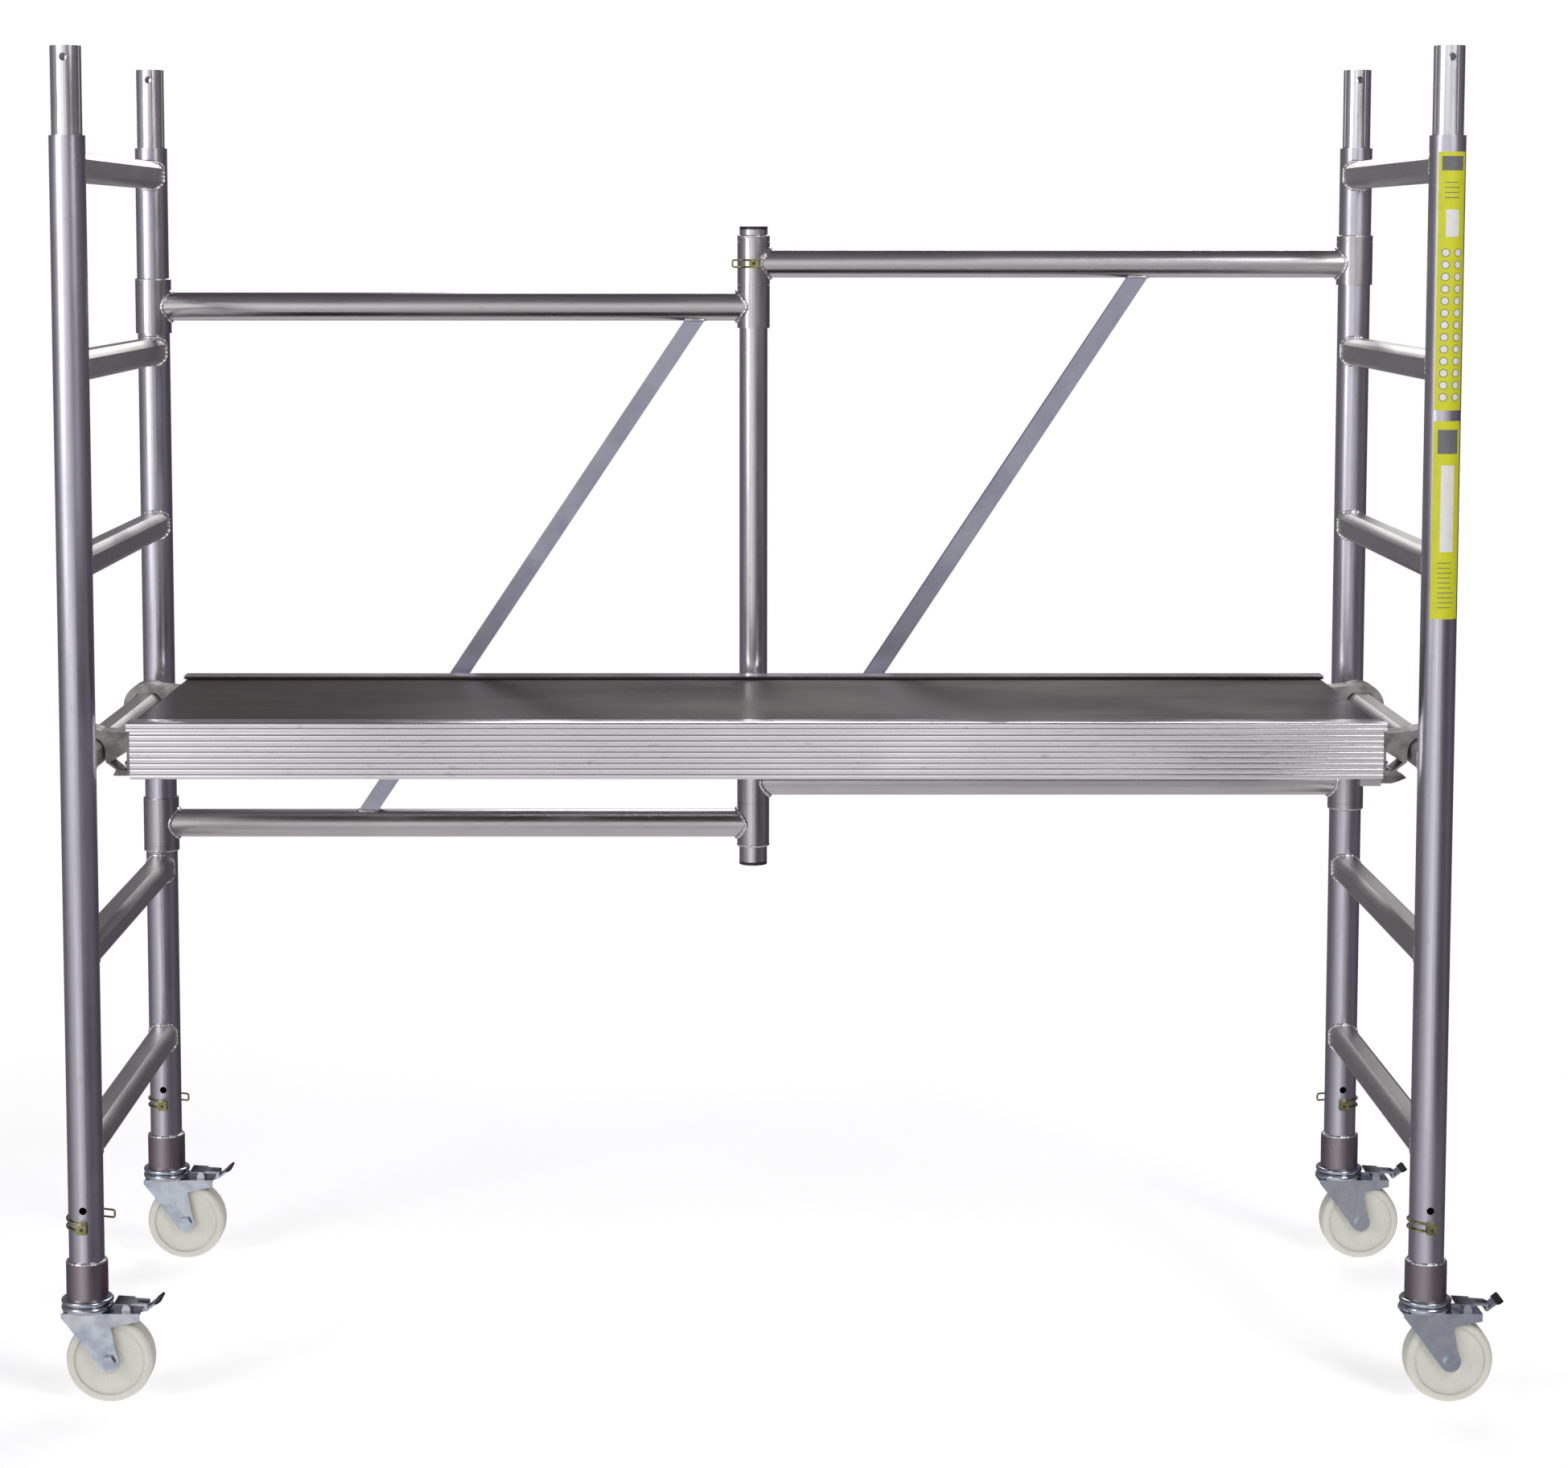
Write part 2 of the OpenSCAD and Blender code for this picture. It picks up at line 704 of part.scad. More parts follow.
// The middle is the barrel on its pin, and the full width is the tread plate above the ears
module pedal() {
    color("lightsteelblue") {
        translate([0, barrel_w / 2, 0]) rotate([90, 0, 0]) linear_extrude(barrel_w) pedal_outline();
        difference() {
            translate([0, pedal_w / 2, 0]) rotate([90, 0, 0]) linear_extrude(pedal_w) intersection() {
                pedal_outline();
                translate([0, pedal_pin_z + 6]) square([200, 40]);
            }
            translate([0, -barrel_w / 2, 0]) cube([200, barrel_w, 300]);
        }
    }
}

/* ---- nodes ---- */

placed() {
    at_leg(left, front) upright();  // left_front_upright
    at_leg(left, rear) upright();  // left_rear_upright
    rungs(left);  // left_rungs
    spigots(left);  // left_spigots
    foot_sleeves(left);  // left_foot_sleeves
    hinge_rings(left, [for (z = left_tubes_z) each [below(z), above(z)]]);  // left_hinge_rings
    caster_stems(left);  // left_caster_stems

    at_leg(right, front) upright();  // right_front_upright
    at_leg(right, rear) upright();  // right_rear_upright
    rungs(right);  // right_rungs
    spigots(right);  // right_spigots
    foot_sleeves(right);  // right_foot_sleeves
    hinge_rings(right, [below(right_tubes_z[0]), above(right_tubes_z[1])]);  // right_hinge_rings
    caster_stems(right);  // right_caster_stems

    brace_tubes(left, left_tubes_z);  // left_brace_tubes
    brace_diagonal(-diagonal_low[0], -diagonal_high[0], left_tubes_z);  // left_brace_diagonal
    sleeves(left, left_tubes_z, end_sleeve_d, tube_d, turn_gap);  // left_end_sleeves
    center_post();
    sleeves(0, left_tubes_z, post_sleeve_d, post_d, weld_gap);  // left_post_sleeves
    post_ring();
    post_caps();

    brace_tubes(right, right_tubes_z);  // right_brace_tubes
    brace_diagonal(diagonal_low[1], diagonal_high[1], right_tubes_z);  // right_brace_diagonal
    sleeves(right, right_tubes_z, end_sleeve_d, tube_d, turn_gap);  // right_end_sleeves
    sleeves(0, right_tubes_z, post_sleeve_d, post_d, turn_gap, holed = true);  // right_post_sleeves

    translate([0, rear, right_tubes_z[1]]) clip_pin(post_sleeve_d, (post_sleeve_d - post_d) / 2 + post_wall + 3);  // lock_pin
    lock_wire();

    deck();
    side_rails();
    end_beams();
    cross_ribs();
    hooks();
    hook_rivets();
    uplift_catch();
    catch_guide();

    for (leg = [["left_front", left, front], ["left_rear", left, rear],
                ["right_front", right, front], ["right_rear", right, rear]]) {
        side = leg[1] == right && leg[2] == rear ? 1 : -1;
        at_leg(leg[1], leg[2]) {
            fork();
            wheel();
            axle();
            pedal();
            translate([0, 0, leg_clip_z]) {
                clip_pin(tube_d, tube_wall + push_gap + stem_wall + 4);
                clip_wire(tube_d, side);
            }
        }
    }
}
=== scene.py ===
# %% [markdown]
# # A folding aluminium scaffold, finished in Blender
#
# The object is two ladder frames on braked casters, a folding brace behind them and a platform hooked between
# them. The imported model already holds every tube, sleeve, hook and wheel at its real size, so this lesson adds only
# what a drawing office leaves to the workshop: weld beads, spring wire, cast skin, scuffs, grain and light.
#
# The first cell loads the imported model. Each node is already a mesh in place. All lengths here are in metres.

# %% Load the imported model
import math
import random

import bmesh
import bpy
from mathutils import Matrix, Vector
from mathutils.bvhtree import BVHTree


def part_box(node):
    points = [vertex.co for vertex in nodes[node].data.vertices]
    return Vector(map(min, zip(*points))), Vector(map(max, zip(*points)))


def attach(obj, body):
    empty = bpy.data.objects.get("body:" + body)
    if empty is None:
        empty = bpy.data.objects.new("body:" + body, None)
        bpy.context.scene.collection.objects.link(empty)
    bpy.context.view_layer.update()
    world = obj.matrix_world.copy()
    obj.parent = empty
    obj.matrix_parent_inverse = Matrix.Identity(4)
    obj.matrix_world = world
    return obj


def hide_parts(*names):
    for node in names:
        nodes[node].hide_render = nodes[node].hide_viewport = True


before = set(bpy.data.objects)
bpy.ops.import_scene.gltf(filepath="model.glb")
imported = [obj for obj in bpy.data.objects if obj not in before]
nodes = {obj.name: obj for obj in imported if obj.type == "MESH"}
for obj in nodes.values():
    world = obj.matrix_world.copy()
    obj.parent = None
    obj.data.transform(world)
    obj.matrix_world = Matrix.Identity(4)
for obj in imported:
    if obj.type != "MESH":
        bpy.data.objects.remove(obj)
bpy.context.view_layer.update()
mm = 0.001

# %% [markdown]
# Most added pieces are placed from the model's own boxes. Only the rail's section and the heights of the labels
# are typed. These few measurements serve the rest: the four upright axes, the tube radii, the rung heights and the
# heights of the brace.

# %% Measure the frame
LEGS = ["left_front", "left_rear", "right_front", "right_rear"]
SIDES = ["left", "right"]


def middle(node):
    low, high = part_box(node)
    return (low + high) / 2


def size(node):
    low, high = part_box(node)
    return high - low


leg_axis = {leg: middle(leg + "_upright").xy for leg in LEGS}
tube_r = size("left_front_upright").x / 2
rungs_low, rungs_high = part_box("left_rungs")
rung_flat = rungs_high.x - rungs_low.x
rung_r = rung_flat / 2 + 2.5 * mm
RUNG_COUNT = 6
rung_pitch = (rungs_high.z - rungs_low.z - rung_flat) / (RUNG_COUNT - 1)
rung_z = [rungs_low.z + rung_flat / 2 + i * rung_pitch for i in range(RUNG_COUNT)]
post = middle("center_post").xy
post_r = size("center_post").x / 2
post_sleeve_r = size("right_post_sleeves").x / 2
end_sleeve_r = size("left_end_sleeves").x / 2
brace_r = size("left_brace_tubes").y / 2


def brace_heights(side):
    low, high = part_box(side + "_brace_tubes")
    return [low.z + brace_r, high.z - brace_r]


print("tube radius", round(tube_r, 4), "rungs", [round(z, 3) for z in rung_z])

# %% [markdown]
# The camera stands a little right of the object's left half, at about a person's eye height, five metres off. A
# long lens keeps the two ladders nearly the same size. Lens shift and only a small downward tilt keep the uprights
# almost parallel, as an architect's lens would draw them.

# %% Camera
uprights_middle = (leg_axis["left_front"] + leg_axis["right_rear"]) / 2
CAMERA_BACK = 5.161
CAMERA_ASIDE = -0.041
CAMERA_UP = 1.669
CAMERA_TILT = math.radians(5.386)

lens = bpy.data.cameras.new("camera")
lens.lens = 78.56
lens.sensor_width = 36
lens.shift_x = 0.0357
lens.shift_y = -0.11
camera = bpy.data.objects.new("camera", lens)
camera.location = (uprights_middle.x + CAMERA_ASIDE, uprights_middle.y - CAMERA_BACK, CAMERA_UP)
camera.rotation_euler = (math.radians(90) - CAMERA_TILT, 0, 0)
bpy.context.scene.collection.objects.link(camera)
bpy.context.scene.camera = camera
bpy.context.scene.view_settings.view_transform = "Standard"
bpy.context.scene.view_settings.look = "None"

# %% [markdown]
# Bare metal shows what surrounds it, so the light is the first material of an aluminium object. The world is a
# studio: a white backdrop for the eye, and for reflections a bright area in front, dark to the right, above and
# behind, so that round tubes get a light stripe between dim edges. Three large soft lights add the highlights.
# The floor is a round sheet that fades out, so there is no horizon, only the shadows under the casters.

# %% World, floor and lights
world = bpy.data.worlds.new("studio")
world.use_nodes = True
bpy.context.scene.world = world


def tone(tree, value, stops):
    """A grey level read from a list of (value from -1 to 1, level) stops."""
    spread = tree.nodes.new("ShaderNodeMapRange")
    spread.inputs["From Min"].default_value = -1
    spread.inputs["From Max"].default_value = 1
    tree.links.new(value, spread.inputs["Value"])
    ramp = tree.nodes.new("ShaderNodeValToRGB")
    elements = ramp.color_ramp.elements
    while len(elements) < len(stops):
        elements.new(0.5)
    for element, (at, level) in zip(elements, stops):
        element.position = (at + 1) / 2
        element.color = (level, level, level, 1)
    tree.links.new(spread.outputs[0], ramp.inputs[0])
    return ramp.outputs[0]


def multiply(tree, a, b):
    node = tree.nodes.new("ShaderNodeMath")
    node.operation = "MULTIPLY"
    tree.links.new(a, node.inputs[0])
    tree.links.new(b, node.inputs[1])
    return node.outputs[0]


def build_world(tree):
    tree.nodes.clear()
    out = tree.nodes.new("ShaderNodeOutputWorld")
    backdrop = tree.nodes.new("ShaderNodeBackground")
    backdrop.inputs["Color"].default_value = (1, 1, 1, 1)
    backdrop.inputs["Strength"].default_value = 1.0
    room = tree.nodes.new("ShaderNodeBackground")
    room.inputs["Strength"].default_value = 1.30
    split = tree.nodes.new("ShaderNodeSeparateXYZ")
    link = tree.links.new
    link(tree.nodes.new("ShaderNodeTexCoord").outputs["Generated"], split.inputs[0])
    across = tone(tree, split.outputs["X"], ACROSS)
    depth = tone(tree, split.outputs["Y"], DEPTH)
    height = tone(tree, split.outputs["Z"], HEIGHT)
    walls = multiply(tree, multiply(tree, across, depth), height)
    below = tone(tree, split.outputs["Z"], [(-0.75, 1), (-0.35, 0)])
    tinted = tree.nodes.new("ShaderNodeMix")
    tinted.data_type = "RGBA"
    tinted.inputs["A"].default_value = (0.062, 0.052, 0.066, 1)
    tinted.inputs["B"].default_value = (1.0, 1.0, 1.0, 1)
    link(walls, tinted.inputs["Factor"])
    mix = tree.nodes.new("ShaderNodeMix")
    mix.data_type = "RGBA"
    link(below, mix.inputs["Factor"])
    link(tinted.outputs["Result"], mix.inputs["A"])
    mix.inputs["B"].default_value = (0.50, 0.49, 0.50, 1)
    link(mix.outputs["Result"], room.inputs["Color"])
    choose = tree.nodes.new("ShaderNodeMixShader")
    link(tree.nodes.new("ShaderNodeLightPath").outputs["Is Camera Ray"], choose.inputs[0])
    link(room.outputs[0], choose.inputs[1])
    link(backdrop.outputs[0], choose.inputs[2])
    link(choose.outputs[0], out.inputs["Surface"])


ACROSS = [
    (-1, 0.30), (-0.8, 0.45), (-0.5, 0.85), (-0.16, 1.0), (-0.08, 0.30), (-0.03, 0.36), (0.02, 0.95), (0.07, 0.80),
    (0.13, 0.32), (0.22, 0.40), (0.32, 0.14), (0.6, 0.03), (0.85, 0.02), (1, 0.12),
]
DEPTH = [(-1, 1.0), (-0.3, 0.85), (0.2, 0.30), (0.8, 0.10)]
HEIGHT = [(-0.6, 0.45), (-0.1, 0.9), (0.1, 1.0), (0.35, 0.7), (0.6, 0.15), (1, 0.10)]
build_world(world.node_tree)


def soft_light(name, place, target, width, height, power):
    light = bpy.data.lights.new(name, "AREA")
    light.shape = "RECTANGLE"
    light.size = width
    light.size_y = height
    light.energy = power
    lamp = bpy.data.objects.new(name, light)
    lamp.location = place
    lamp.rotation_euler = (Vector(target) - Vector(place)).to_track_quat("-Z", "Y").to_euler()
    bpy.context.scene.collection.objects.link(lamp)


soft_light("key_light", (2.6, -3.6, 3.6), (0, 0, 0.9), 1.6, 2.4, 85)
soft_light("fill_light", (-3.4, -2.6, 2.2), (0, 0, 0.9), 1.4, 2.4, 40)
soft_light("back_light", (0.5, 3.4, 3.4), (0, 0, 1.0), 2.6, 1.4, 60)

floor_mesh = bpy.data.meshes.new("floor")
FLOOR = 4.5
floor_mesh.from_pydata(
    [(-FLOOR, -FLOOR, 0), (FLOOR, -FLOOR, 0), (FLOOR, FLOOR, 0), (-FLOOR, FLOOR, 0)], [], [(0, 1, 2, 3)]
)
floor = bpy.data.objects.new("floor", floor_mesh)
floor.visible_glossy = False
bpy.context.scene.collection.objects.link(floor)

# %% [markdown]
# Materials come next, as small recipes. A recipe starts from a principled shader. Anything even over the whole
# surface is set straight on the shader's socket. Only what varies, such as grain, scuffs and dirt, comes through
# nodes. Texture space is the object's own metres, so a scale of 400 means features of about 2.5 mm.

# %% Material helpers
class Recipe:
    """One material under construction: a principled shader and short calls that add texture to it."""

    def __init__(self, name, color, metallic, roughness):
        self.material = bpy.data.materials.new(name)
        self.material.use_nodes = True
        self.tree = self.material.node_tree
        self.shader = self.tree.nodes["Principled BSDF"]
        self.base = (*color, 1)
        self.shader.inputs["Base Color"].default_value = self.base
        self.shader.inputs["Metallic"].default_value = metallic
        self.shader.inputs["Roughness"].default_value = roughness
        self.roughness = roughness
        self.place = self.tree.nodes.new("ShaderNodeTexCoord").outputs["Object"]
        self.color = None
        self.heights = []

    def link(self, a, b):
        self.tree.links.new(a, b)

    def noise(self, scale, detail=3, stretch=(1, 1, 1), seed=0.0):
        """A noise value, squeezed or stretched along the axes of the object."""
        turn = self.tree.nodes.new("ShaderNodeMapping")
        turn.inputs["Scale"].default_value = stretch
        turn.inputs["Location"].default_value = (seed, seed * 0.7, seed * 1.3)
        self.link(self.place, turn.inputs["Vector"])
        noise = self.tree.nodes.new("ShaderNodeTexNoise")
        noise.inputs["Scale"].default_value = scale
        noise.inputs["Detail"].default_value = detail
        self.link(turn.outputs[0], noise.inputs["Vector"])
        return noise.outputs["Fac"]

    def cells(self, scale, stretch=(1, 1, 1)):
        turn = self.tree.nodes.new("ShaderNodeMapping")
        turn.inputs["Scale"].default_value = stretch
        self.link(self.place, turn.inputs["Vector"])
        cells = self.tree.nodes.new("ShaderNodeTexVoronoi")
        cells.inputs["Scale"].default_value = scale
        self.link(turn.outputs[0], cells.inputs["Vector"])
        return cells.outputs["Distance"]

    def mask(self, value, low, high):
        """Turns a value into a mask that is 0 below low and 1 above high."""
        ramp = self.tree.nodes.new("ShaderNodeMapRange")
        ramp.inputs["From Min"].default_value = low
        ramp.inputs["From Max"].default_value = high
        self.link(value, ramp.inputs["Value"])
        return ramp.outputs[0]

    def product(self, a, b):
        node = self.tree.nodes.new("ShaderNodeMath")
        node.operation = "MULTIPLY"
        for value, socket in ((a, node.inputs[0]), (b, node.inputs[1])):
            if isinstance(value, float):
                socket.default_value = value
            else:
                self.link(value, socket)
        return node.outputs[0]

    def tint(self, mask, color, amount=1.0):
        """Lays another colour over what is there, where the mask is bright."""
        mix = self.tree.nodes.new("ShaderNodeMix")
        mix.data_type = "RGBA"
        if self.color is None:
            mix.inputs["A"].default_value = self.base
        else:
            self.link(self.color, mix.inputs["A"])
        mix.inputs["B"].default_value = (*color, 1)
        self.link(self.product(mask, float(amount)), mix.inputs["Factor"])
        self.color = mix.outputs["Result"]
        return self

    def vary_roughness(self, value, low, high):
        ramp = self.tree.nodes.new("ShaderNodeMapRange")
        ramp.inputs["From Min"].default_value = 0.3
        ramp.inputs["From Max"].default_value = 0.7
        ramp.inputs["To Min"].default_value = low
        ramp.inputs["To Max"].default_value = high
        self.link(value, ramp.inputs["Value"])
        self.link(ramp.outputs[0], self.shader.inputs["Roughness"])
        return self

    def bump(self, height, strength, depth):
        bump = self.tree.nodes.new("ShaderNodeBump")
        bump.inputs["Strength"].default_value = strength
        bump.inputs["Distance"].default_value = depth
        self.link(height, bump.inputs["Height"])
        if self.heights:
            self.link(self.heights[-1], bump.inputs["Normal"])
        self.heights.append(bump.outputs[0])
        return self

    def done(self):
        if self.color is not None:
            self.link(self.color, self.shader.inputs["Base Color"])
        if self.heights:
            self.link(self.heights[-1], self.shader.inputs["Normal"])
        return self.material


def stretch_along(axis, along=0.02):
    """Squeezes a texture along one axis, so its features become long streaks."""
    return tuple(along if name == axis else 1 for name in "xyz")


# %% [markdown]
# Drawn tube has three things on it: very fine streaks along its length from the die, patches where handling has
# dulled it, and short scratches. The streaks are noise squeezed along the tube, so each direction of tube gets
# its own version of the one recipe.

# %% Aluminium and steel
def drawn_tube(name, axis, color, roughness=0.3, wear=0.35):
    metal = Recipe(name, color, 1.0, roughness)
    streaks = metal.noise(900, 4, stretch_along(axis))
    patches = metal.noise(7, 5, stretch_along(axis, 0.5), seed=3.1)
    nicks = metal.mask(metal.noise(140, 2, stretch_along(axis, 0.25), seed=8.4), 0.66, 0.72)
    dull = tuple(c * 0.72 for c in color)
    metal.tint(metal.mask(patches, 0.45, 0.75), dull, wear)
    metal.tint(metal.mask(streaks, 0.45, 0.8), tuple(min(1, c * 1.12) for c in color), 0.5)
    metal.tint(nicks, (0.42, 0.40, 0.40), wear)
    metal.vary_roughness(patches, roughness - 0.06, roughness + 0.14)
    metal.bump(streaks, 0.10, 0.1 * mm).bump(patches, 0.05, 0.4 * mm)
    return metal.done()


upright_metal = drawn_tube("satin_upright_tube", "z", (0.60, 0.59, 0.66), 0.25)
rung_metal = drawn_tube("worn_rung_tube", "y", (0.60, 0.60, 0.58), 0.34, 0.7)
spigot_metal = drawn_tube("bright_spigot_tube", "z", (0.74, 0.74, 0.77), 0.20, 0.3)
post_metal = drawn_tube("satin_post_tube", "z", (0.60, 0.59, 0.62), 0.22)
brace_metal = drawn_tube("satin_brace_tube", "x", (0.60, 0.58, 0.59), 0.22)
sleeve_metal = drawn_tube("turned_sleeve", "z", (0.56, 0.54, 0.56), 0.22, 0.4)
foot_metal = drawn_tube("brown_foot_sleeve", "z", (0.36, 0.31, 0.34), 0.32, 0.4)
rail_metal = drawn_tube("ribbed_rail", "x", (0.90, 0.88, 0.90), 0.15, 0.2)
beam_metal = drawn_tube("mill_finish_beam", "y", (0.60, 0.60, 0.60), 0.36, 0.4)


def flat_bar():
    metal = Recipe("flat_bar", (0.42, 0.42, 0.50), 1.0, 0.34)
    cloud = metal.noise(14, 5)
    metal.tint(metal.mask(cloud, 0.4, 0.7), (0.34, 0.33, 0.42), 0.8)
    metal.tint(metal.mask(metal.noise(260, 2, seed=2.0), 0.68, 0.74), (0.62, 0.62, 0.66), 0.6)
    metal.vary_roughness(cloud, 0.26, 0.44)
    metal.bump(metal.noise(500, 3), 0.06, 0.1 * mm)
    return metal.done()


def weld_metal():
    metal = Recipe("weld_bead", (0.82, 0.82, 0.83), 1.0, 0.22)
    soot = metal.noise(220, 3)
    metal.tint(metal.mask(soot, 0.55, 0.7), (0.25, 0.24, 0.24), 0.7)
    metal.vary_roughness(soot, 0.16, 0.5)
    metal.bump(metal.noise(900, 2), 0.15, 0.2 * mm)
    return metal.done()


def zinc_plate():
    metal = Recipe("bright_zinc_plate", (0.58, 0.63, 0.70), 1.0, 0.20)
    cloud = metal.noise(45, 4)
    metal.tint(metal.mask(cloud, 0.4, 0.65), (0.42, 0.45, 0.54), 0.8)
    metal.tint(metal.mask(metal.noise(20, 3, seed=5.0), 0.5, 0.7), (0.70, 0.66, 0.70), 0.5)
    metal.vary_roughness(cloud, 0.14, 0.34)
    metal.bump(metal.noise(350, 3), 0.05, 0.15 * mm)
    return metal.done()


def pedal_plate():
    """The same plate, with the turned-up end of the pedal dipped in black."""
    metal = Recipe("dipped_pedal_zinc", (0.58, 0.63, 0.70), 1.0, 0.20)
    cloud = metal.noise(45, 4)
    metal.tint(metal.mask(cloud, 0.4, 0.65), (0.42, 0.45, 0.54), 0.8)
    split = metal.tree.nodes.new("ShaderNodeSeparateXYZ")
    metal.link(metal.place, split.inputs[0])
    metal.tint(metal.mask(split.outputs["Z"], DIP_FROM, DIP_FROM + 1.5 * mm), (0.03, 0.03, 0.035))
    metal.vary_roughness(cloud, 0.18, 0.36)
    metal.bump(metal.noise(350, 3), 0.05, 0.15 * mm)
    return metal.done()


def yellow_zinc():
    metal = Recipe("yellow_zinc_wire", (0.38, 0.34, 0.15), 1.0, 0.30)
    cloud = metal.noise(160, 3)
    metal.tint(metal.mask(cloud, 0.42, 0.6), (0.25, 0.26, 0.09), 0.8)
    metal.tint(metal.mask(metal.noise(110, 3, seed=4.0), 0.55, 0.68), (0.20, 0.16, 0.08), 0.8)
    metal.vary_roughness(cloud, 0.22, 0.42)
    return metal.done()


def cast_metal():
    metal = Recipe("sand_cast_hook", (0.46, 0.43, 0.42), 1.0, 0.52)
    grain = metal.cells(620)
    cloud = metal.noise(60, 4)
    metal.tint(metal.mask(cloud, 0.4, 0.65), (0.30, 0.27, 0.27), 0.8)
    metal.tint(metal.mask(metal.noise(420, 3, seed=1.5), 0.60, 0.72), (0.75, 0.73, 0.72), 0.6)
    metal.vary_roughness(cloud, 0.42, 0.66)
    metal.bump(grain, 0.55, 0.5 * mm).bump(metal.noise(260, 4), 0.4, 0.5 * mm)
    return metal.done()


def dull_steel():
    metal = Recipe("dull_catch_steel", (0.30, 0.28, 0.28), 1.0, 0.42)
    metal.tint(metal.mask(metal.noise(90, 4), 0.45, 0.7), (0.14, 0.12, 0.12), 0.8)
    metal.bump(metal.noise(300, 3), 0.25, 0.3 * mm)
    return metal.done()


# %% [markdown]
# The other surfaces are not metal. The deck is plywood faced with dark phenolic film: nearly black-brown, smooth
# enough to mirror the room at a low angle, and scratched along its length by boots. The wheels are solid nylon,
# cream, and let a little light in. Caps are black, and the same black is the painted shade in the pedal slots,
# the clip bores and the gap under each flange.

# %% Board, plastic and floor
def phenolic_board():
    board = Recipe("phenolic_deck_board", (0.038, 0.024, 0.019), 0.0, 0.34)
    board.shader.inputs["Specular IOR Level"].default_value = 0.20
    board.shader.inputs["Coat Weight"].default_value = 0.03
    board.shader.inputs["Coat Roughness"].default_value = 0.18
    grain = board.noise(60, 6, (0.05, 1, 1))
    boots = board.noise(5, 5, (0.6, 1, 1), seed=2.2)
    board.tint(board.mask(grain, 0.42, 0.7), (0.085, 0.055, 0.045), 0.7)
    board.tint(board.mask(boots, 0.5, 0.75), (0.11, 0.085, 0.075), 0.5)
    scratches = board.mask(board.noise(300, 2, (0.03, 1, 1), seed=6.0), 0.68, 0.73)
    board.tint(scratches, (0.22, 0.18, 0.16), 0.5)
    board.vary_roughness(boots, 0.25, 0.42)
    board.bump(grain, 0.12, 0.2 * mm).bump(board.noise(900, 2), 0.05, 0.1 * mm)
    return board.done()


def solid_nylon():
    nylon = Recipe("cream_nylon", (0.68, 0.68, 0.62), 0.0, 0.42)
    nylon.shader.inputs["Subsurface Weight"].default_value = 0.15
    nylon.shader.inputs["Subsurface Radius"].default_value = (0.010, 0.009, 0.006)
    cloud = nylon.noise(24, 4)
    nylon.tint(nylon.mask(cloud, 0.4, 0.7), (0.60, 0.60, 0.51), 0.6)
    nylon.tint(nylon.mask(nylon.noise(320, 3, seed=3.0), 0.62, 0.72), (0.42, 0.41, 0.37), 0.5)
    nylon.vary_roughness(cloud, 0.34, 0.52)
    nylon.bump(nylon.noise(500, 3), 0.08, 0.2 * mm)
    return nylon.done()


# Black for the moulded caps, and also the painted shade of the pedal slot boxes, bore discs and flange strips.
def black_cap_and_painted_shade_recipe():
    black_cap_and_painted_shade = Recipe("black_moulded_cap_and_painted_shade", (0.022, 0.022, 0.024), 0.0, 0.42)
    cloud = black_cap_and_painted_shade.noise(120, 3)
    black_cap_and_painted_shade.tint(black_cap_and_painted_shade.mask(cloud, 0.5, 0.7), (0.06, 0.06, 0.06), 0.6)
    black_cap_and_painted_shade.bump(black_cap_and_painted_shade.noise(1100, 2), 0.10, 0.1 * mm)
    return black_cap_and_painted_shade.done()


def studio_floor():
    """White paper, solid under the object and clear further out."""
    paper = Recipe("studio_floor", (0.92, 0.92, 0.92), 0.0, 0.9)
    paper.shader.inputs["Emission Color"].default_value = (1, 1, 1, 1)
    paper.shader.inputs["Emission Strength"].default_value = 0.55
    paper.tint(paper.mask(paper.noise(3, 3), 0.4, 0.7), (0.90, 0.90, 0.90), 0.5)
    length = paper.tree.nodes.new("ShaderNodeVectorMath")
    length.operation = "LENGTH"
    paper.link(paper.place, length.inputs[0])
    paper.link(paper.mask(length.outputs["Value"], 2.4, 1.5), paper.shader.inputs["Alpha"])
    return paper.done()


bar_metal = flat_bar()
bead_metal = weld_metal()
zinc = zinc_plate()
DIP_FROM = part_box("left_front_pedal")[1].z - 7 * mm
pedal_zinc = pedal_plate()
yellow = yellow_zinc()
cast = cast_metal()
catch_steel = dull_steel()
deck_board = phenolic_board()
nylon = solid_nylon()
black_cap_and_painted_shade = black_cap_and_painted_shade_recipe()
floor.data.materials.append(studio_floor())

# %% [markdown]
# An imported node whose shape is right only needs its material. One table says which node gets which.

# %% Dress the imported nodes
finish_of = {}
for side in SIDES:
    finish_of[side + "_front_upright"] = upright_metal
    finish_of[side + "_rear_upright"] = upright_metal
    finish_of[side + "_rungs"] = rung_metal
    finish_of[side + "_spigots"] = spigot_metal
    finish_of[side + "_foot_sleeves"] = foot_metal
    finish_of[side + "_hinge_rings"] = sleeve_metal
    finish_of[side + "_caster_stems"] = zinc
    finish_of[side + "_brace_tubes"] = brace_metal
    finish_of[side + "_brace_diagonal"] = bar_metal
    finish_of[side + "_end_sleeves"] = sleeve_metal
    finish_of[side + "_post_sleeves"] = sleeve_metal
for leg in LEGS:
    finish_of[leg + "_fork"] = zinc
    finish_of[leg + "_axle"] = zinc
    finish_of[leg + "_pedal"] = pedal_zinc
    finish_of[leg + "_wheel"] = nylon
    finish_of[leg + "_leg_pin"] = yellow
    finish_of[leg + "_leg_wire"] = yellow
finish_of.update({
    "center_post": post_metal,
    "post_ring": sleeve_metal,
    "post_caps": black_cap_and_painted_shade,
    "lock_pin": yellow,
    "lock_wire": yellow,
    "deck": deck_board,
    "side_rails": rail_metal,
    "end_beams": beam_metal,
    "cross_ribs": beam_metal,
    "hooks": cast,
    "hook_rivets": sleeve_metal,
    "uplift_catch": catch_steel,
    "catch_guide": beam_metal,
})

for name, node in nodes.items():
    node.data.materials.clear()
    node.data.materials.append(finish_of[name])
print("dressed", len(finish_of), "of", len(nodes))

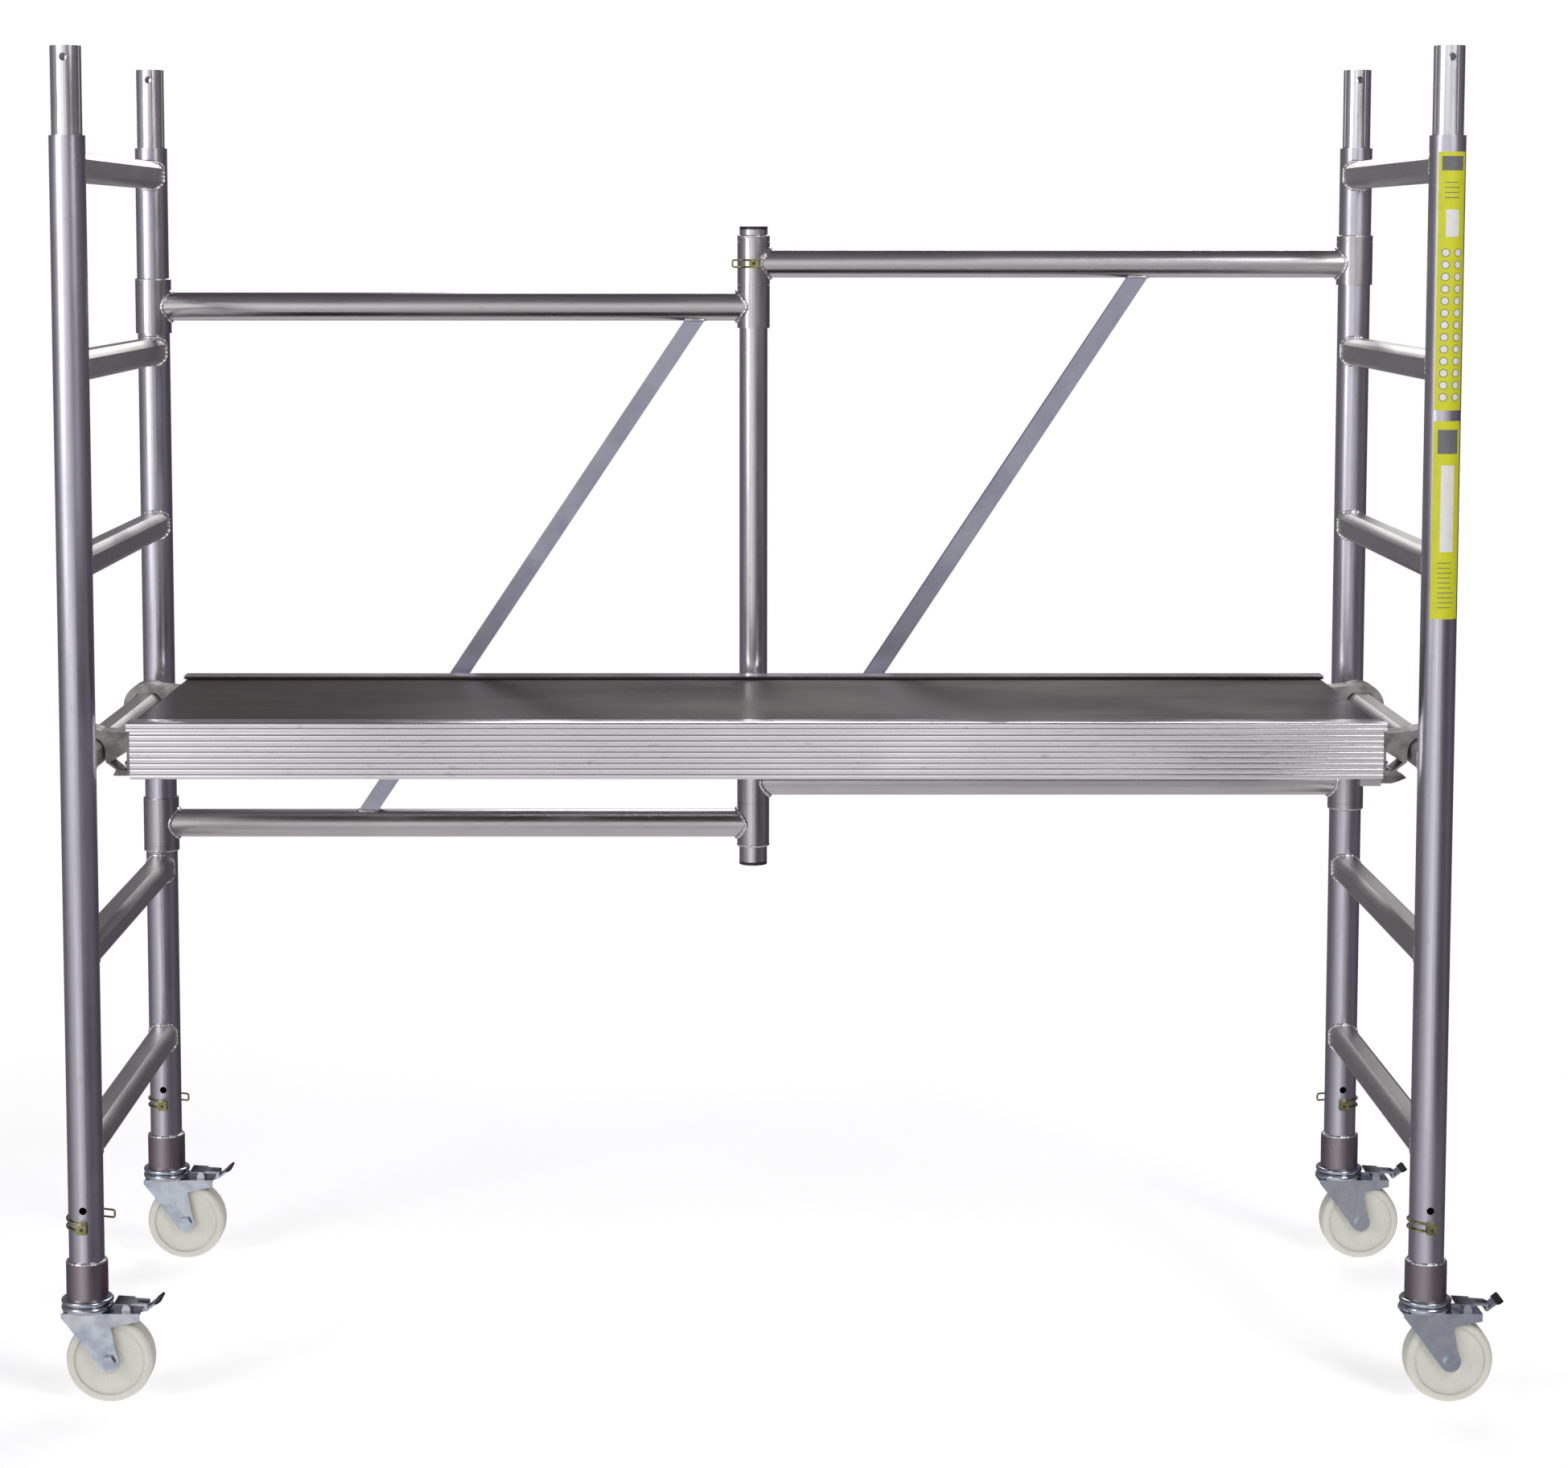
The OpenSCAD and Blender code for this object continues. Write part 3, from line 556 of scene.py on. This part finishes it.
# %% [markdown]
# Welds and wires are both a round section carried along a path. This one helper sweeps such a section, with a
# radius that may change from point to point, and closes the ends or joins them into a ring. Ripples in a weld
# are just a radius that rises and falls.

# %% Sweep helper
def sweep(bm, path, radii, closed=False, sides=8):
    """Adds a tube along path to bm. radii is one number or one for each point."""
    path = [Vector(p) for p in path]
    count = len(path)
    if not hasattr(radii, "__len__"):
        radii = [radii] * count
    rings = []
    normal = None
    for i, point in enumerate(path):
        before = path[i - 1] if closed or i else point
        after = path[(i + 1) % count] if closed or i < count - 1 else point
        along = (after - before).normalized()
        if normal is None:
            normal = along.orthogonal().normalized()
        normal = (normal - along * normal.dot(along)).normalized()
        cross = along.cross(normal)
        ring = []
        for k in range(sides):
            angle = 2 * math.pi * k / sides
            offset = normal * math.cos(angle) + cross * math.sin(angle)
            ring.append(bm.verts.new(point + offset * radii[i]))
        rings.append(ring)
    spans = count if closed else count - 1
    for i in range(spans):
        one, two = rings[i], rings[(i + 1) % count]
        shift = 0
        if closed and i == count - 1:
            shift = min(range(sides), key=lambda s: (one[0].co - two[s].co).length)
        for k in range(sides):
            bm.faces.new((one[k], one[(k + 1) % sides], two[(k + 1 + shift) % sides], two[(k + shift) % sides]))
    if not closed:
        bm.faces.new(list(reversed(rings[0])))
        bm.faces.new(rings[-1])


def add_piece(name, bm, material, body, smooth=True):
    bmesh.ops.recalc_face_normals(bm, faces=bm.faces)
    mesh = bpy.data.meshes.new(name)
    bm.to_mesh(mesh)
    bm.free()
    for one in material if isinstance(material, list) else [material]:
        mesh.materials.append(one)
    if smooth:
        mesh.shade_smooth()
    piece = bpy.data.objects.new(name, mesh)
    bpy.context.scene.collection.objects.link(piece)
    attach(piece, body)
    return piece


def bead(bm, path, radius, rng):
    """A weld bead round a closed path: even ripples with a little unevenness in each."""
    ripples = [0.82 + 0.30 * abs(math.sin(i * math.pi / 3)) + rng.uniform(-0.06, 0.06) for i in range(len(path))]
    sweep(bm, path, [radius * r for r in ripples], closed=True)


# %% [markdown]
# Where a tube meets a round upright, the joint is a saddle: the tube's outline, pushed along the tube until it
# touches the upright. The same formula serves for rungs along Y and brace tubes along X. Each body gets one mesh
# with all its beads, because a weld moves with the frame it holds together.

# %% Weld beads
BEAD_R = 2.6 * mm
BEAD_STEPS = 72


def saddle(axis_point, height, big_r, small_r, direction, flat=None):
    """Points where a level tube of radius small_r meets an upright tube of radius big_r. direction is a flat unit
    vector from the upright's axis along the level tube."""
    aside = Vector((-direction[1], direction[0], 0))
    ahead = Vector((direction[0], direction[1], 0))
    points = []
    for i in range(BEAD_STEPS):
        angle = 2 * math.pi * i / BEAD_STEPS
        r = small_r
        if flat:
            r = min(small_r, flat / 2 / max(abs(math.cos(angle)), abs(math.sin(angle))))
        r += 1.0 * mm
        side_shift, rise = r * math.cos(angle), r * math.sin(angle)
        out = math.sqrt(max(0, big_r ** 2 - side_shift ** 2)) + 0.6 * mm
        point = Vector((axis_point[0], axis_point[1], height)) + aside * side_shift + ahead * out
        points.append(point + Vector((0, 0, rise)))
    return points


def hoop(axis_point, height, radius, steps=BEAD_STEPS):
    x, y = axis_point
    angles = [2 * math.pi * i / steps for i in range(steps)]
    return [(x + radius * math.cos(a), y + radius * math.sin(a), height) for a in angles]


def frame_welds(side):
    rng = random.Random(len(side))
    bm = bmesh.new()
    for end, toward in (("front", (0, 1)), ("rear", (0, -1))):
        axis = leg_axis[side + "_" + end]
        for z in rung_z:
            bead(bm, saddle(axis, z, tube_r, rung_r, toward, rung_flat), BEAD_R, rng)
        sleeve_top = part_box(side + "_foot_sleeves")[1].z
        bead(bm, hoop(axis, sleeve_top + 0.6 * mm, tube_r + 1.6 * mm), BEAD_R, rng)
    low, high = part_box(side + "_hinge_rings")
    for z in (low.z - 0.3 * mm, high.z + 0.3 * mm):
        bead(bm, hoop(leg_axis[side + "_rear"], z, tube_r + 1.2 * mm), 2.0 * mm, rng)
    return add_piece(side + "_frame_welds", bm, bead_metal, side + "_frame")


def brace_welds(side):
    rng = random.Random(7 + len(side))
    bm = bmesh.new()
    toward = 1 if side == "left" else -1
    end_axis = leg_axis[side + "_rear"]
    for z in brace_heights(side):
        bead(bm, saddle(end_axis, z, end_sleeve_r, brace_r, (toward, 0)), BEAD_R, rng)
        bead(bm, saddle(post, z, post_sleeve_r, brace_r, (-toward, 0)), 3.2 * mm, rng)
    if side == "left":
        sleeve_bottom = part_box("left_post_sleeves")[0].z
        bead(bm, hoop(post, sleeve_bottom - 0.4 * mm, post_r + 1.4 * mm), BEAD_R, rng)
        ring_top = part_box("post_ring")[1].z
        bead(bm, hoop(post, ring_top + 0.3 * mm, post_r + 1.4 * mm), BEAD_R, rng)
    return add_piece(side + "_brace_welds", bm, bead_metal, side + "_brace")


for side in SIDES:
    frame_welds(side)
    brace_welds(side)

# %% [markdown]
# The side rails are extrusions with rounded ribs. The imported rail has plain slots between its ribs, and a round rib
# is what catches the light, so each rail is drawn again here: the same section, with every rib an arc.

# %% Ribbed side rails
RAIL_WALL, FLANGE_W, FLANGE_T, FOOT_W, FOOT_T = 5 * mm, 40 * mm, 5 * mm, 15 * mm, 3 * mm
LIP_H, SLOT_H, SLOT_DEEP, RIB_DEEP, RIB_COUNT, RIB_CUT = 14 * mm, 2.6 * mm, 2.8 * mm, 2.2 * mm, 8, 5 * mm


def ribs(z0, z1, count):
    """Points up the outer face from z0 to z1: equal arcs that touch the face, with a sharp valley between two."""
    pitch = (z1 - z0) / count
    points = []
    for i in range(count):
        for k in range(7):
            angle = math.pi * (k + 0.5) / 7
            points.append((RIB_DEEP * (1 - math.sin(angle)), z0 + pitch * (i + 0.5 - 0.5 * math.cos(angle))))
    return points


def extrude(bm, section, x0, x1, outer_y, inward, bottom):
    ends = []
    for x in (x0, x1):
        ends.append([bm.verts.new((x, outer_y + inward * y, bottom + z)) for y, z in section])
    count = len(section)
    for i in range(count):
        k = (i + 1) % count
        bm.faces.new((ends[0][i], ends[0][k], ends[1][k], ends[1][i]))
    bm.faces.new(ends[0])
    bm.faces.new(list(reversed(ends[1])))


def side_rails():
    low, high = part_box("side_rails")
    height = high.z - low.z
    lip = height - LIP_H
    lower = ribs(0, lip - SLOT_H, RIB_COUNT)
    lower += [(SLOT_DEEP, lip - SLOT_H), (SLOT_DEEP, lip), (RAIL_WALL, lip)]
    lower += [(RAIL_WALL, FOOT_T), (FOOT_W, FOOT_T), (FOOT_W, 0)]
    upper = ribs(lip, height, 2)
    upper += [(2 * mm, height), (FLANGE_W, height), (FLANGE_W, height - FLANGE_T), (RAIL_WALL, height - FLANGE_T)]
    upper += [(RAIL_WALL, lip)]
    bm = bmesh.new()
    for outer_y, inward in ((low.y, 1), (high.y, -1)):
        extrude(bm, lower, low.x + RIB_CUT, high.x - RIB_CUT, outer_y, inward, low.z)
        extrude(bm, upper, low.x, high.x, outer_y, inward, low.z)
    rails = add_piece("ribbed_side_rails", bm, rail_metal, "platform")
    rails.data.set_sharp_from_angle(angle=math.radians(35))
    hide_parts("side_rails")


side_rails()

# %% [markdown]
# The leg clips are each bent from one wire. It starts in the block, runs round the tube as two close turns and ends
# in a flat loop for the finger. The imported leg wires are plain open turns. The middle clip has its loop in front
# and two short turns. The wires drawn here take the place of all five.

# %% Spring wires
WIRE_R = 1.5 * mm


def finger_loop(point, along, out, rise, half):
    """The loop at the end of a wire: a flat U with rounded corners, sticking out along its own direction."""
    corner = 3 * mm
    path = []
    for sign in (-1, 1):
        bend = []
        for i in range(5):
            angle = math.pi / 2 * i / 4
            run = out - corner + corner * math.sin(angle)
            height = rise + sign * (half - corner + corner * math.cos(angle))
            bend.append(point + along * run + Vector((0, 0, height)))
        path += bend if sign < 0 else list(reversed(bend))
    return path


def clip_path(axis, z, radius, half, turn, side, out, rise):
    """The whole wire: away from the block on the low turn, round, through the finger loop and back on the high turn."""
    steps = 40
    start = math.radians(17)

    def turn_at(i, sign):
        angle = start + (turn - start) * i / steps
        x = axis[0] + side * radius * math.sin(angle)
        y = axis[1] - radius * math.cos(angle)
        return Vector((x, y, z + sign * half + rise * i / steps))

    low = [turn_at(i, -1) for i in range(steps + 1)]
    high = [turn_at(i, 1) for i in range(steps + 1)]
    along = Vector((side * math.cos(turn), math.sin(turn), 0)).normalized()
    end = Vector((low[-1].x, low[-1].y, z))
    return low + finger_loop(end, along, out, rise, half) + list(reversed(high))


def clip_spring(name, body, block_node, axis, radius, side, turn, out, rise):
    low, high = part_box(block_node)
    half = (high.z - low.z) / 2 - WIRE_R
    bm = bmesh.new()
    z = (low.z + high.z) / 2
    path = clip_path(axis, z, radius + WIRE_R + 0.4 * mm, half, math.radians(turn), side, out, rise)
    sweep(bm, path, WIRE_R, sides=10)
    spring = add_piece(name, bm, yellow, body)
    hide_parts(name.replace("_spring", "_wire"))
    return spring


#                       side, turn, loop length, rise
SPRINGS = {
    "left_front_leg": (-1, 200, 31 * mm, 9 * mm),
    "left_rear_leg": (-1, 200, 27 * mm, 2 * mm),
    "right_front_leg": (-1, 232, 6 * mm, 0),
    "right_rear_leg": (1, 200, 27 * mm, 2 * mm),
}
for key, (side, turn, out, rise) in SPRINGS.items():
    leg = key.removesuffix("_leg")
    clip_spring(key + "_spring", leg + "_leg_clip", key + "_pin", leg_axis[leg], tube_r, side, turn, out, rise)


def lock_spring():
    """The middle clip: a finger loop across the front of the sleeve, and two short turns beside the brace tube."""
    low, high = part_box("lock_pin")
    block = (high.x - low.x) / 2
    wire_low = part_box("lock_wire")[0]
    radius = post_sleeve_r + WIRE_R + 0.3 * mm
    z = (low.z + high.z) / 2
    half = (high.z - low.z) / 2 - WIRE_R
    out = post.x - block - (wire_low.x + WIRE_R)
    bm = bmesh.new()
    loop = finger_loop(Vector((post.x - block, post.y - radius, z)), Vector((-1, 0, 0)), out, 0, half)
    first, last = loop[0], loop[-1]
    start = [Vector((post.x - block, first.y, first.z))]
    end = [Vector((post.x - block, last.y, last.z))]
    sweep(bm, start + loop + end, WIRE_R, sides=10)
    for sign in (-1, 1):
        angles = [math.radians(16 + 15 * i / 8) for i in range(9)]
        turn = [(post.x + radius * math.sin(a), post.y - radius * math.cos(a), z + sign * half) for a in angles]
        sweep(bm, turn, WIRE_R, sides=10)
    spring = add_piece("lock_spring", bm, yellow, "lock_clip")
    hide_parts("lock_wire")


lock_spring()

# %% [markdown]
# Small parts finish the mechanism: a weld round each end of the diagonal bars, and black pieces of painted shade:
# a box over the slot of each brake pedal, a disc over the bore of each clip block, and a strip over the inner edge
# of each rail's flange for the shadow gap between it and the deck. The slot boxes and the flange strips are plain
# boxes with rounded edges.

# %% Small parts
PEDAL_SLOT_OUT = 80 * mm


def rounded_box(bm, low, high, rounding=0.6 * mm):
    made = bmesh.ops.create_cube(bm, size=1)["verts"]
    low, high = Vector(low), Vector(high)
    for vert in made:
        vert.co = Vector([(low[i] + high[i]) / 2 + vert.co[i] * (high[i] - low[i]) for i in range(3)])
    edges = list({edge for vert in made for edge in vert.link_edges})
    bmesh.ops.bevel(bm, geom=edges, offset=rounding, segments=2, affect="EDGES")


def surface_below(node, x, y, from_z):
    """Height of the first surface of a node under a point."""
    tree = BVHTree.FromPolygons(
        [node.matrix_world @ v.co for v in node.data.vertices], [tuple(p.vertices) for p in node.data.polygons]
    )
    hit = tree.ray_cast(Vector((x, y, from_z)), Vector((0, 0, -1)))[0]
    return hit.z if hit else None


def pedal_details(leg):
    node = nodes[leg + "_pedal"]
    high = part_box(leg + "_pedal")[1]
    axis = leg_axis[leg]
    x = axis.x + PEDAL_SLOT_OUT
    top = surface_below(node, x, axis.y, high.z + 0.05)
    if top is None:
        return
    bm = bmesh.new()
    # A black box over the pedal's slot: painted shade for the dark inside of the slot.
    slot_shade_low = (x - 9 * mm, axis.y - 5 * mm, top - 0.3 * mm)
    slot_shade_high = (x + 9 * mm, axis.y + 5 * mm, top + 0.5 * mm)
    rounded_box(bm, slot_shade_low, slot_shade_high, 0.2 * mm)
    add_piece(leg + "_pedal_slot_painted_shade", bm, black_cap_and_painted_shade, leg + "_brake")


def diagonal_welds(side):
    node = nodes[side + "_brace_diagonal"]
    points = [node.matrix_world @ v.co for v in node.data.vertices]
    low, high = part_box(side + "_brace_diagonal")
    half_y = (high.y - low.y) / 2 + 1.0 * mm
    rng = random.Random(21)
    bm = bmesh.new()
    for z, inward in ((low.z, 1), (high.z, -1)):
        foot = [p.x for p in points if abs(p.z - z) < 2 * mm]
        x0, x1 = min(foot), max(foot)
        path = []
        for i in range(36):
            angle = 2 * math.pi * i / 36
            across = math.copysign(abs(math.cos(angle)) ** 0.5, math.cos(angle))
            deep = math.copysign(abs(math.sin(angle)) ** 0.5, math.sin(angle))
            x = (x0 + x1) / 2 + (x1 - x0) / 2 * across
            y = (low.y + high.y) / 2 + half_y * deep
            path.append((x, y, z + inward * 1.2 * mm))
        bead(bm, path, 1.9 * mm, rng)
    add_piece(side + "_diagonal_welds", bm, bead_metal, side + "_brace")


# A black strip over the inner edge of each rail's flange: painted shade for the shadow gap between the flange and the
# deck.
def flange_gap_painted_shade():
    low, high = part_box("side_rails")
    bm = bmesh.new()
    for y, sign in ((low.y + FLANGE_W, 1), (high.y - FLANGE_W, -1)):
        inner = y + sign * 1.6 * mm
        rounded_box(
            bm,
            (low.x + 2 * mm, min(y, inner), high.z - FLANGE_T + 0.1 * mm),
            (high.x - 2 * mm, max(y, inner), high.z - 0.6 * mm),
            0.4 * mm,
        )
    add_piece("flange_gap_painted_shade", bm, black_cap_and_painted_shade, "platform")


def painted_bore_shade(block_node, body, name):
    """A black disc in the middle of the clip block's face: painted shade for the dark inside of the pin's own bore."""
    low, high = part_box(block_node)
    centre = Vector(((low.x + high.x) / 2, low.y, (low.z + high.z) / 2))
    bm = bmesh.new()
    sweep(bm, [centre + Vector((0, -0.02 * mm, 0)), centre + Vector((0, 0.5 * mm, 0))], 2.6 * mm, sides=24)
    add_piece(name, bm, black_cap_and_painted_shade, body, smooth=False)


for leg in LEGS:
    pedal_details(leg)
    painted_bore_shade(leg + "_leg_pin", leg + "_leg_clip", leg + "_pin_bore_painted_shade")
painted_bore_shade("lock_pin", "lock_clip", "lock_pin_bore_painted_shade")
for side in SIDES:
    diagonal_welds(side)
flange_gap_painted_shade()
print("small parts added")

# %% [markdown]
# Two printed labels are wrapped round the front of the right front upright. They carry only plain bars, blank
# discs and thin lines. Each is a thin shell bent to the tube, and each printed mark lies less than a tenth
# of a millimetre above it.

# %% Labels
LABEL_MIDDLE, LABEL_HALF = math.radians(9), math.radians(49)
SHELL_LIFT, RING_LIFT, MARK_LIFT, FACE_LIFT = 0.10 * mm, 0.14 * mm, 0.16 * mm, 0.18 * mm
YELLOW, WHITE, GREY = 0, 1, 2


def flat_color(name, color, roughness=0.35):
    recipe = Recipe(name, color, 0.0, roughness)
    dust = recipe.noise(90, 3)
    recipe.tint(recipe.mask(dust, 0.5, 0.75), tuple(c * 0.86 for c in color), 0.6)
    recipe.vary_roughness(dust, roughness - 0.05, roughness + 0.15)
    return recipe.done()


label_yellow = flat_color("label_yellow", (0.66, 0.68, 0.02))
label_white = flat_color("label_white", (0.80, 0.80, 0.78))
label_grey = flat_color("label_grey", (0.16, 0.16, 0.17))


def wrap(across, z, lift):
    """A point on the tube from a position across the label, -1 to 1, a height and a lift off the tube."""
    angle = LABEL_MIDDLE + across * LABEL_HALF
    axis = leg_axis["right_front"]
    r = tube_r + lift
    return Vector((axis.x + r * math.sin(angle), axis.y - r * math.cos(angle), z))


def plate(bm, outline, lift, paint):
    """A mark on the label: an outline of (across, z) points, raised and closed down to the tube."""
    top = [bm.verts.new(wrap(a, z, lift)) for a, z in outline]
    foot = [bm.verts.new(wrap(a, z, 0.02 * mm)) for a, z in outline]
    count = len(outline)
    faces = [bm.faces.new(top)]
    faces += [bm.faces.new((top[i], foot[i], foot[(i + 1) % count], top[(i + 1) % count])) for i in range(count)]
    for face in faces:
        face.material_index = paint


def strip(bm, a0, a1, z0, z1, lift, paint):
    steps = max(1, round((a1 - a0) * 8))
    for i in range(steps):
        left, right = a0 + (a1 - a0) * i / steps, a0 + (a1 - a0) * (i + 1) / steps
        plate(bm, [(left, z0), (right, z0), (right, z1), (left, z1)], lift, paint)


def disc(bm, across, z, r, lift, paint):
    """A round mark cut into upright slices, so that it follows the tube instead of cutting through it."""
    spread = r / (tube_r * LABEL_HALF)
    cuts = [-math.cos(math.pi * i / 8) for i in range(9)]
    for left, right in zip(cuts, cuts[1:]):
        tall_left, tall_right = (r * math.sqrt(max(0, 1 - cut * cut)) + 0.01 * mm for cut in (left, right))
        a0, a1 = across + spread * left, across + spread * right
        plate(bm, [(a0, z - tall_left), (a1, z - tall_right), (a1, z + tall_right), (a0, z + tall_left)], lift, paint)


def thin_lines(bm, top, count, rng):
    for i in range(count):
        strip(bm, -0.55, rng.uniform(0.25, 0.6), top - i * 7 * mm - 1.2 * mm, top - i * 7 * mm, MARK_LIFT, GREY)


def upper_label():
    low, high = 1.430, 1.790
    rng = random.Random(3)
    bm = bmesh.new()
    strip(bm, -1, 1, low, high, SHELL_LIFT, YELLOW)
    strip(bm, -0.75, 0.75, high - 0.026, high - 0.006, MARK_LIFT, GREY)
    thin_lines(bm, high - 0.042, 4, rng)
    strip(bm, -0.45, 0.45, high - 0.118, high - 0.080, MARK_LIFT, WHITE)
    for row in range(13):
        for across in (-0.42, 0.42):
            z = high - 0.140 - row * 0.0168
            disc(bm, across, z, 6.0 * mm, RING_LIFT, GREY)
            disc(bm, across, z, 4.9 * mm, FACE_LIFT, WHITE)
    add_piece("upper_label", bm, [label_yellow, label_white, label_grey], "right_frame", smooth=False)


def lower_label():
    low, high = 1.136, 1.415
    rng = random.Random(4)
    bm = bmesh.new()
    strip(bm, -1, 1, low, high, SHELL_LIFT, YELLOW)
    strip(bm, -0.70, 0.70, high - 0.046, high - 0.012, MARK_LIFT, GREY)
    strip(bm, -0.45, 0.45, low + 0.095, high - 0.062, MARK_LIFT, WHITE)
    thin_lines(bm, low + 0.080, 10, rng)
    add_piece("lower_label", bm, [label_yellow, label_white, label_grey], "right_frame", smooth=False)


upper_label()
lower_label()
